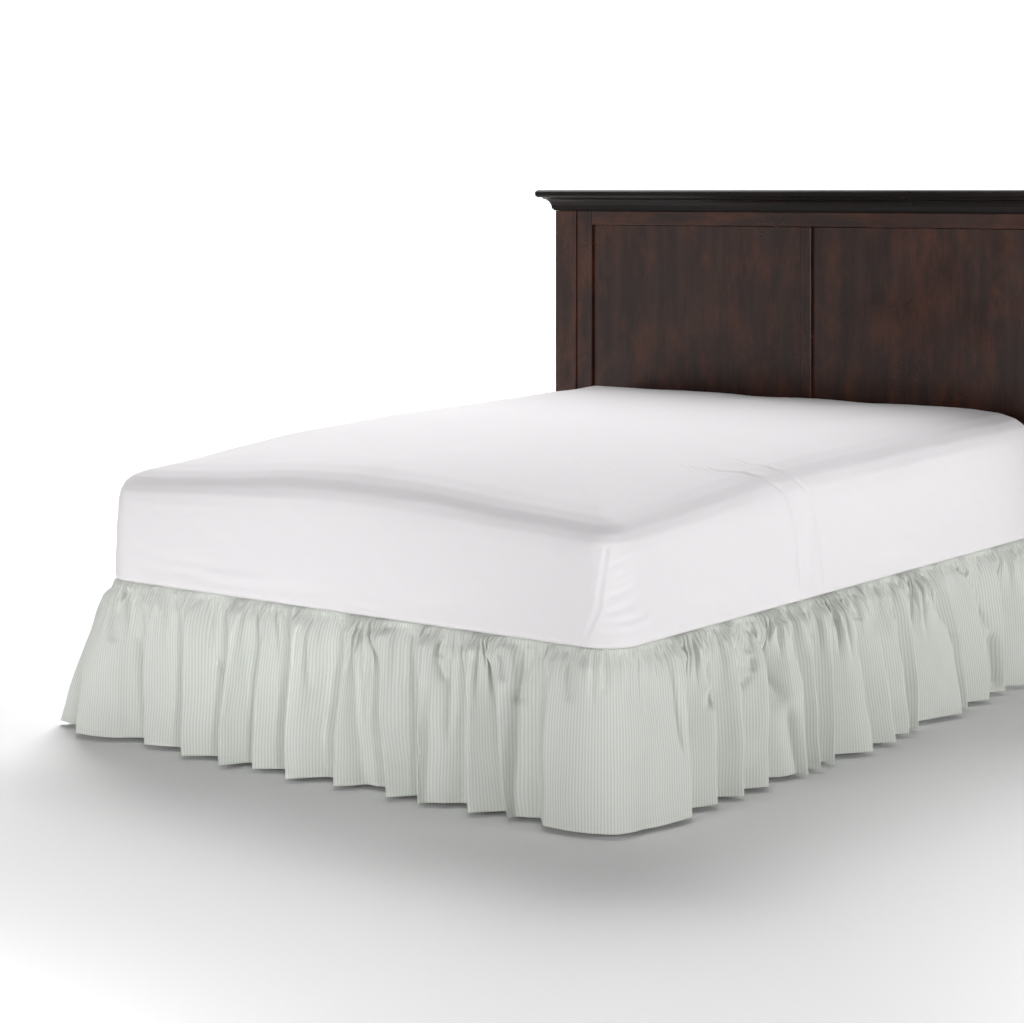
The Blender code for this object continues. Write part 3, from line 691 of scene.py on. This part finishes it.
def sheet_creases(p, climb):
    """Height of the sheet's creases and seams at a place on it."""
    depth = np.zeros_like(p)
    for c in SHEET_CREASES:
        length = math.hypot(c.run, c.rise)
        dp, dz = p - c.p, climb - c.climb
        along = (dp * c.run + dz * c.rise) / length
        aside = (dp * c.rise - dz * c.run) / length
        aside = aside - CREASE_BEND * length * (1 - (along / length) ** 2)
        fade = np.clip(1 - (along / length) ** 2, 0, 1) ** 1.5
        depth += c.deep * fade * np.exp(-(aside / c.wide) ** 2)
    for seam in SHEET_SEAMS:
        nearest, gone = np.full(p.shape, 1.0), np.zeros(p.shape)
        ends = list(zip(seam.path, seam.path[1:]))
        for i, (here, there) in enumerate(ends):
            run, rise = there[0] - here[0], there[1] - here[1]
            t = ((p - here[0]) * run + (climb - here[1]) * rise) / (run ** 2 + rise ** 2)
            t = np.clip(t, 0, 1)
            off = np.hypot(p - here[0] - t * run, climb - here[1] - t * rise)
            closer = off < nearest
            nearest, gone = np.where(closer, off, nearest), np.where(closer, (i + t) / len(ends), gone)
        fade = smooth_step(gone, 0.0, 0.06) * (1 - 0.7 * smooth_step(gone, 0.55, 1.0))
        dent = np.exp(-(nearest / seam.wide) ** 2)
        ridge = np.exp(-((nearest - RIDGE_AT * seam.wide) / (RIDGE_WIDE * seam.wide)) ** 2)
        depth += seam.deep * fade * (dent - RIDGE * ridge)
    return depth


def bumps(u, v, length, seed):
    """Smooth unevenness between about -1 and 1 over a surface."""
    rng = np.random.default_rng(seed)
    total = np.zeros_like(u)
    for _ in range(14):
        turn, phase = rng.uniform(0, 2 * math.pi, 2)
        wave = 2 * math.pi / (length * rng.uniform(0.6, 1.7))
        total += np.sin((u * math.cos(turn) + v * math.sin(turn)) * wave + phase)
    return total / 4


# Shares of its right side, its head, its left side and its foot where the sheet's points lie
SHEET_SHARES = (
    np.interp(even(232), (0.00, 0.17, 0.22, 0.76, 1.00), (0.00, 0.10, 0.20, 0.48, 1.00)),
    even(44), even(110), even(190),
)


def rounded_section(step=0.001, reach=12, width=3):
    """Distances along the mattress's section, and its points there with rounded corners."""
    chord = distances(np.array(MATTRESS_SECTION))
    fine = np.arange(0, chord[-1], step)
    curve = np.stack([np.interp(fine, chord, column) for column in zip(*MATTRESS_SECTION)])
    bell = np.exp(-0.5 * (np.arange(-reach, reach + 1) / width) ** 2)
    padded = np.pad(curve, ((0, 0), (reach, reach)), mode="reflect", reflect_type="odd")
    return fine, [np.convolve(row, bell / bell.sum(), mode="valid") for row in padded]


def build_fitted_sheet():
    fine, curve = rounded_section()
    places = np.concatenate([np.linspace(0, 0.036, 5), np.linspace(0.040, 0.080, 18),
                             np.arange(0.086, 0.46, 0.0062), np.linspace(0.467, fine[-1], 30)])
    inset, height = (np.interp(places, fine, row) for row in curve)
    grid = rings(zip(inset - SHEET_OUT, height), MATTRESS_CORNER, MATTRESS_HEAD_CORNER, 32, SHEET_SHARES,
                 HEAD_OUT - SHEET_OUT)
    grid[..., 2] = MATTRESS_BOTTOM + mattress_height(*np.moveaxis(grid, 2, 0))
    normal = surface_normals(grid, around=True)
    x, y, z = np.moveaxis(grid, 2, 0)
    if np.mean(normal[..., 0] * x) < 0:
        normal = -normal
    p = edge_place(x, y)
    side = smooth_step(z, BOX_TOP + 0.002, BOX_TOP + 0.020)
    top = smooth_step(normal[..., 2], 0.3, 0.9)
    swell = 0.0009 * bumps(p, z, 0.24, 5) + 0.0004 * bumps(p, 1.6 * z, 0.07, 6)
    swell = swell * (1 - top) + top * 0.0013 * bumps(x, y, 0.30, 7)
    climb = MATTRESS_BOTTOM - SHEET_LIP + places[:, None]
    grid = grid + normal * (side * (swell + sheet_creases(p, climb)))[..., None]
    around = np.linspace(0, SHEET_GIRTH, grid.shape[1])
    uv = np.stack(np.broadcast_arrays(around, places[:, None]), -1)
    piece = grid_mesh("mattress_in_sheet", grid, uv, WHITE_SHEET, around=True, caps=True)
    stand_for(piece, "mattress")


# How far in from the bed's edge the platform starts, and how high over the box spring it lies
DECK_INSET, DECK_LIFT = 0.0408, 0.0011


def build_deck():
    """The flat cloth that joins the gathered widths over the top of the box spring."""
    section = [(inset, BOX_TOP + DECK_LIFT) for inset in (DECK_INSET, 0.10, 0.25, 0.45, 0.65, 0.735)]
    grid = rings(section, CORNER_RADIUS, CORNER_RADIUS, 10, [even(30)] * 4)
    grid[..., 2] += 0.0002 * bumps(grid[..., 0], grid[..., 1], 0.2, 9)
    piece = grid_mesh("skirt_platform", grid, grid[..., :2].copy(), PLAIN_COTTON, around=True)
    stand_for(piece, "skirt_deck")


# The box spring's section in the same way, and its point where the stripes are measured out
BOX_SECTION = (
    (0.060, 0.1910), (0.012, 0.1902), (0.003, 0.1925), (0.0005, 0.1975), (0.0015, 0.2020),
    (0.004, 0.2045), (0.003, 0.2120), (0.0015, 0.2400), (0.001, 0.2900), (0.0008, 0.3500),
    (0.001, 0.3680), (0.003, 0.3750), (0.008, 0.3790), (0.020, 0.3797), (0.200, 0.3799), (0.730, 0.3799),
)
BOX_SIDE = 7
# How far in the ticking is drawn, and how uneven it is between two heights
TUG, TUG_FROM, TUG_TO = 0.0006, 0.205, 0.36


def build_box_spring():
    """The upholstered base: ticking drawn over its frame, with a taped edge low on its sides."""
    grid = rings(BOX_SECTION, CORNER_RADIUS, CORNER_RADIUS, 14, [even(90), even(60)] * 2)
    x, y, z = np.moveaxis(grid, 2, 0)
    tug = TUG * bumps(edge_place(x, y), z, 0.06, 12) * ((z > TUG_FROM) & (z < TUG_TO))
    away = grid[..., :2] - CENTRE
    grid[..., :2] -= away / np.linalg.norm(away, axis=2, keepdims=True) * (TUG + tug)[..., None]
    uv = np.stack(np.broadcast_arrays(distances(grid[BOX_SIDE]), z), -1)
    piece = grid_mesh("box_spring_in_ticking", grid, uv, TICKING, around=True, caps=True)
    stand_for(piece, "box_spring")


# ---- finishes ----

class Finish:
    """A material whose nodes are added one call at a time."""

    def __init__(self, name, roughness, specular=0.5, **more):
        self.material = bpy.data.materials.new(name)
        self.material.use_nodes = True
        self.tree = self.material.node_tree
        self.shader = self.tree.nodes["Principled BSDF"]
        self.set("Roughness", roughness)
        self.set("Specular IOR Level", specular)
        for socket, value in more.items():
            self.set(socket.replace("_", " "), value)

    def plug(self, node, socket, value):
        """Gives a node's socket a value, or links it to another node's output."""
        if isinstance(value, bpy.types.NodeSocket):
            self.tree.links.new(value, node.inputs[socket])
        else:
            node.inputs[socket].default_value = value

    def set(self, socket, value):
        self.plug(self.shader, socket, value)

    def node(self, kind, inputs=None, **settings):
        node = self.tree.nodes.new(kind)
        for key, value in settings.items():
            setattr(node, key, value)
        for socket, value in (inputs or {}).items():
            self.plug(node, socket, value)
        return node

    def done(self, color, normal):
        self.set("Base Color", color)
        self.set("Normal", normal)
        return self.material

    def math(self, operation, a, b=0.0):
        return self.node("ShaderNodeMath", {0: a, 1: b}, operation=operation).outputs[0]

    def apart(self, a, b):
        return self.math("ABSOLUTE", self.math("SUBTRACT", a, b))

    def stripes(self, place, spacing):
        """Distance from the middle of each stripe, as a share of their spacing."""
        return self.apart(self.math("FRACT", self.math("DIVIDE", place, spacing)), 0.5)

    def mix(self, share, low, high):
        return self.node("ShaderNodeMix", {0: share, 6: low, 7: high}, data_type="RGBA").outputs[2]

    def spread(self, value, low, high, to_low=0.0, to_high=1.0):
        inputs = {0: value, 1: low, 2: high, 3: to_low, 4: to_high}
        return self.node("ShaderNodeMapRange", inputs, interpolation_type="SMOOTHSTEP").outputs[0]

    def cloth_place(self):
        """The cloth's own coordinates, in metres, together and then one by one."""
        uv = self.node("ShaderNodeUVMap", uv_map="cloth").outputs[0]
        return [uv, *self.node("ShaderNodeSeparateXYZ", {0: uv}).outputs[:2]]

    def object_place(self):
        return self.node("ShaderNodeTexCoord").outputs["Object"]

    def noise(self, vector, scale, detail=2.0, roughness=0.5, output=0):
        inputs = {"Vector": vector, "Scale": scale, "Detail": detail, "Roughness": roughness}
        return self.node("ShaderNodeTexNoise", inputs).outputs[output]

    def vector(self, operation, a, b):
        return self.node("ShaderNodeVectorMath", {0: a, 1: b}, operation=operation).outputs[0]

    def fleck(self, uv, across, along, detail=2.0, roughness=0.5):
        """Noise with so many flecks to a metre across and along the cloth."""
        return self.noise(self.vector("MULTIPLY", uv, (across, along, 1)), 1.0, detail, roughness)

    def bump(self, height, distance, strength=1.0, below=None):
        inputs = {"Height": height, "Distance": distance, "Strength": strength}
        if below is not None:
            inputs["Normal"] = below
        return self.node("ShaderNodeBump", inputs).outputs[0]


def linear(red, green, blue):
    """A colour's screen values, 0 to 255, as the linear values that nodes take."""
    values = [v / 255 for v in (red, green, blue)]
    return tuple(v / 12.92 if v <= 0.04045 else ((v + 0.055) / 1.055) ** 2.4 for v in values) + (1.0,)


def woven(finish, u, v, pitch):
    """Height of a plain weave with that thread spacing: warp and weft by turns on top."""
    warp, weft = (finish.math("SINE", finish.math("MULTIPLY", place, math.pi / pitch)) for place in (u, v))
    share = finish.spread(finish.math("MULTIPLY", warp, weft), -0.3, 0.3)
    high = finish.math("MULTIPLY", finish.math("ABSOLUTE", warp), share)
    low = finish.math("MULTIPLY", finish.math("ABSOLUTE", weft), finish.math("SUBTRACT", 1.0, share))
    return finish.math("ADD", high, low)


# Spacing of the stripes, how far their edges stray, and where and how wide the hem's line of stitches is
STRIPE, TICKING_STRIPE, STRIPE_STRAY = 0.0070, 0.022, 0.0007
STITCH_AT, STITCH_WIDE = 0.0145, 0.0016


def striped_cotton():
    finish = Finish("striped_cotton_finish", 0.88, 0.25, Sheen_Weight=0.12, Sheen_Roughness=0.5)
    uv, u, v = finish.cloth_place()
    stray = finish.math("SUBTRACT", finish.fleck(uv, 900, 12), 0.5)
    across = finish.math("ADD", u, finish.math("MULTIPLY", stray, STRIPE_STRAY))
    light = finish.spread(finish.stripes(across, STRIPE), 0.20, 0.30)
    fleck = finish.fleck(uv, 700, 240, 3.0, 0.7)
    pale = finish.mix(fleck, linear(217, 220, 214), linear(228, 230, 224))
    deep = finish.mix(fleck, linear(199, 203, 196), linear(214, 217, 210))
    weave = finish.bump(woven(finish, u, v, 0.00045), 0.00010, 0.35)
    slub = finish.bump(finish.fleck(uv, 260, 90, 3.0, 0.6), 0.0006, 0.25, weave)
    stitch = finish.spread(finish.apart(v, DROP - STITCH_AT), 0.0, STITCH_WIDE, 1.0, 0.0)
    return finish.done(finish.mix(light, deep, pale), finish.bump(stitch, -0.0006, 0.5, slub))


def plain_cotton():
    finish = Finish("plain_cotton_finish", 0.9, 0.25)
    uv, u, v = finish.cloth_place()
    color = finish.mix(finish.noise(uv, 900.0), linear(205, 205, 198), linear(232, 232, 226))
    return finish.done(color, finish.bump(woven(finish, u, v, 0.0007), 0.00012, 0.5))


def white_sheet():
    finish = Finish("white_sheet_finish", 0.82, 0.3, Sheen_Weight=0.10, Sheen_Roughness=0.4)
    uv, u, v = finish.cloth_place()
    color = finish.mix(finish.fleck(uv, 420, 420, 3.0, 0.6), linear(236, 233, 235), linear(243, 241, 243))
    weave = finish.bump(woven(finish, u, v, 0.00040), 0.00008, 0.3)
    crumple = finish.noise(uv, 34.0, 4.0, 0.55)
    return finish.done(color, finish.bump(crumple, 0.0009, 0.35, weave))


def ticking():
    finish = Finish("ticking_finish", 0.85, 0.3)
    _, u, v = finish.cloth_place()
    stripe = finish.spread(finish.stripes(u, TICKING_STRIPE), 0.06, 0.09)
    color = finish.mix(stripe, linear(120, 128, 140), linear(226, 224, 216))
    return finish.done(color, finish.bump(woven(finish, u, v, 0.0008), 0.00012, 0.5))


def black_steel():
    finish = Finish("black_steel_finish", 0.42, 0.5, Metallic=0.3)
    place = finish.object_place()
    speck = finish.noise(place, 1400.0, 2.0)
    blotch = finish.noise(place, 9.0, 3.0)
    finish.set("Roughness", finish.spread(blotch, 0.3, 0.7, 0.36, 0.50))
    color = finish.mix(blotch, linear(22, 22, 24), linear(38, 38, 41))
    return finish.done(color, finish.bump(speck, 0.0004, 0.15))


def dark_wood(name, grain, shade=1.0):
    """Dark stained wood in a satin lacquer, with its pattern stretched by grain. A shade below 1 darkens its
    colours as painted shade and lowers its gloss.
    """
    # Its colours times shade: below 1 this is painted shade, not a darker stain
    def stain_in_painted_shade(*color):
        return linear(*(shade * value for value in color))

    finish = Finish(name, 0.30, 0.42 * shade ** 0.5, Coat_Weight=0.12 * shade, Coat_Roughness=0.20)
    place = finish.object_place()
    # the grain wanders a little from straight
    wander = finish.noise(place, 2.2, output="Color")
    bent = finish.vector("ADD", place, finish.vector("MULTIPLY", wander, (0.02, 0.02, 0.02)))
    long = finish.vector("MULTIPLY", bent, grain)
    figure = finish.noise(long, 26.0, 5.0, 0.62)
    pores = finish.noise(finish.vector("MULTIPLY", long, (6, 6, 6)), 34.0, 3.0, 0.7)
    half_long = finish.vector("MULTIPLY", place, tuple(0.4 + 0.6 * g for g in grain))
    mottle = finish.noise(half_long, 9.0, 5.0, 0.7)
    tone = finish.mix(finish.spread(figure, 0.32, 0.70), stain_in_painted_shade(39, 21, 15), stain_in_painted_shade(61, 36, 28))
    tone = finish.mix(finish.spread(mottle, 0.42, 0.72, 0.0, 0.75), tone, stain_in_painted_shade(92, 48, 30))
    tone = finish.mix(finish.spread(pores, 0.30, 0.46, 0.5, 0.0), tone, stain_in_painted_shade(18, 10, 7))
    cloud = finish.noise(place, 7.0, 4.0)
    finish.set("Roughness", finish.spread(cloud, 0.3, 0.7, 0.27, 0.36))
    return finish.done(tone, finish.bump(pores, 0.0002, 0.2))


def dress(nodes, material):
    for name in nodes:
        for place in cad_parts[name].material_slots:
            place.material = material


GRAIN_UP, GRAIN_ACROSS = (1.0, 1.0, 0.09), (0.09, 1.0, 1.0)
# Painted shade on the cap and cove: their wood colours are darkened to this share to stand in for the shade
# on the cap and beneath it, with less gloss
MOULDING_PAINTED_SHADE = 0.30

STRIPED_COTTON, PLAIN_COTTON = striped_cotton(), plain_cotton()
WHITE_SHEET, TICKING = white_sheet(), ticking()
UPRIGHT = dark_wood("dark_wood_upright", GRAIN_UP)
dress([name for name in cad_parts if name.startswith(("frame_", "headboard_bracket"))], black_steel())
dress(["headboard_mullion"], UPRIGHT)
for part in ("panel", "post", "stile"):
    dress(["headboard_" + part + side for side in ("_left", "_right")], UPRIGHT)
dress(["headboard_low_rail", "headboard_top_rail"], dark_wood("dark_wood_across", GRAIN_ACROSS))
# The cap and cove in painted shade: darker wood colours stand in for the shade on the cap and the cove
# beneath it
dress(["headboard_cap", "headboard_cove"], dark_wood("dark_wood_moulding_painted_shade", GRAIN_ACROSS, MOULDING_PAINTED_SHADE))
build_skirt()
build_fitted_sheet()
build_deck()
build_box_spring()


# ---- the studio ----

PAPER, PAPER_MOTTLE = 0.97, 0.985


def studio_paper():
    finish = Finish("studio_paper", 0.9, 0.2)
    pale, deep = ((value, value, value, 1.0) for value in (PAPER, PAPER_MOTTLE * PAPER))
    finish.set("Base Color", finish.mix(finish.noise(finish.object_place(), 3.0), pale, deep))
    return finish.material


def build_studio():
    """A pale floor that curves up into a backdrop."""
    reach, front, depth, curve, height = 14.0, -12.0, 9.0, 1.6, 9.0
    turn = np.linspace(0, math.pi / 2, 17)
    y = np.concatenate([[front], depth - curve + curve * np.sin(turn), [depth]])
    z = np.concatenate([[0.0], curve * (1 - np.cos(turn)), [height]])
    grid = np.zeros((2, len(y), 3))
    grid[0, :, 0], grid[1, :, 0] = -reach, reach
    grid[..., 1], grid[..., 2] = y - BED_Y, z
    grid = grid[:, ::-1]
    grid_mesh("studio_floor", grid, grid[..., :2].copy(), studio_paper())


def add_light(name, at, towards, size, power, spread=180):
    data = bpy.data.lights.new(name, "AREA")
    data.shape = "RECTANGLE"
    data.size, data.size_y = size
    data.energy = power
    data.spread = math.radians(spread)
    lamp = bpy.data.objects.new(name, data)
    bpy.context.scene.collection.objects.link(lamp)
    lamp.visible_camera = False
    lamp.location = at
    lamp.rotation_euler = (Vector(towards) - Vector(at)).to_track_quat("-Z", "Y").to_euler()


def build_lights():
    add_light("high_back", (-3.7, 4.0, 6.0), (0.0, -0.6, 0.0), (6.0, 4.0), 721)
    add_light("front", (0.3, -6.0, 1.4), (0.0, -0.6, 0.3), (1.6, 1.2), 102)
    add_light("right_front", (5.4, -3.4, 1.3), (0.0, -0.4, 0.3), (1.6, 1.2), 9)
    add_light("right_low", (6.0, -0.1, 1.2), (0.6, 0.1, 0.3), (3.0, 1.6), 138)
    add_light("left_fill", (-4.4, -4.0, 1.3), (-0.3, -0.2, 0.4), (3.2, 2.2), 16)
    # narrow beams: one grazes the foot's folds, two fall on the floor clear of the cloth
    add_light("along_foot", (4.4, -4.6, 1.3), (-0.26, -1.05, 0.25), (0.7, 0.7), 0.58, 11)
    add_light("floor_foot", (-0.4, -3.4, 2.2), (-0.4, -3.4, 0.0), (3.0, 1.2), 18, 50)
    add_light("floor_right", (3.0, -0.2, 2.2), (3.0, -0.2, 0.0), (1.2, 3.0), 18, 50)
    add_light("backdrop_wash", (-6.0, 4.6, 3.4), (-6.0, 8.6, 0.2), (24.0, 1.6), 900)
    world = bpy.data.worlds.new("studio_air")
    bpy.context.scene.world = world
    world.use_nodes = True
    background = world.node_tree.nodes["Background"]
    background.inputs["Color"].default_value = (1.0, 1.0, 1.0, 1.0)
    background.inputs["Strength"].default_value = 0.05
    bpy.context.scene.view_settings.view_transform = "Standard"


# The photograph's width, the focal length and the horizon's height over the middle, in pixels. Then where
# the camera stands from the bed's left foot corner, and its turn from straight ahead
PHOTO_WIDTH, FOCAL_LENGTH, HORIZON = 1024, 2339, 321.5
CAMERA_AT, CAMERA_TURN = (4.279, -4.003, 1.342), 37.09


def build_camera():
    data = bpy.data.cameras.new("camera")
    data.lens = FOCAL_LENGTH / PHOTO_WIDTH * data.sensor_width
    data.shift_y = -HORIZON / PHOTO_WIDTH
    data.clip_start, data.clip_end = 0.1, 100.0
    camera = bpy.data.objects.new("camera", data)
    bpy.context.scene.collection.objects.link(camera)
    x, y, z = CAMERA_AT
    camera.location = (x - HALF, y + BED_Y, z)
    camera.rotation_euler = (math.pi / 2, 0.0, math.radians(CAMERA_TURN))
    bpy.context.scene.camera = camera


build_studio()
build_lights()
build_camera()
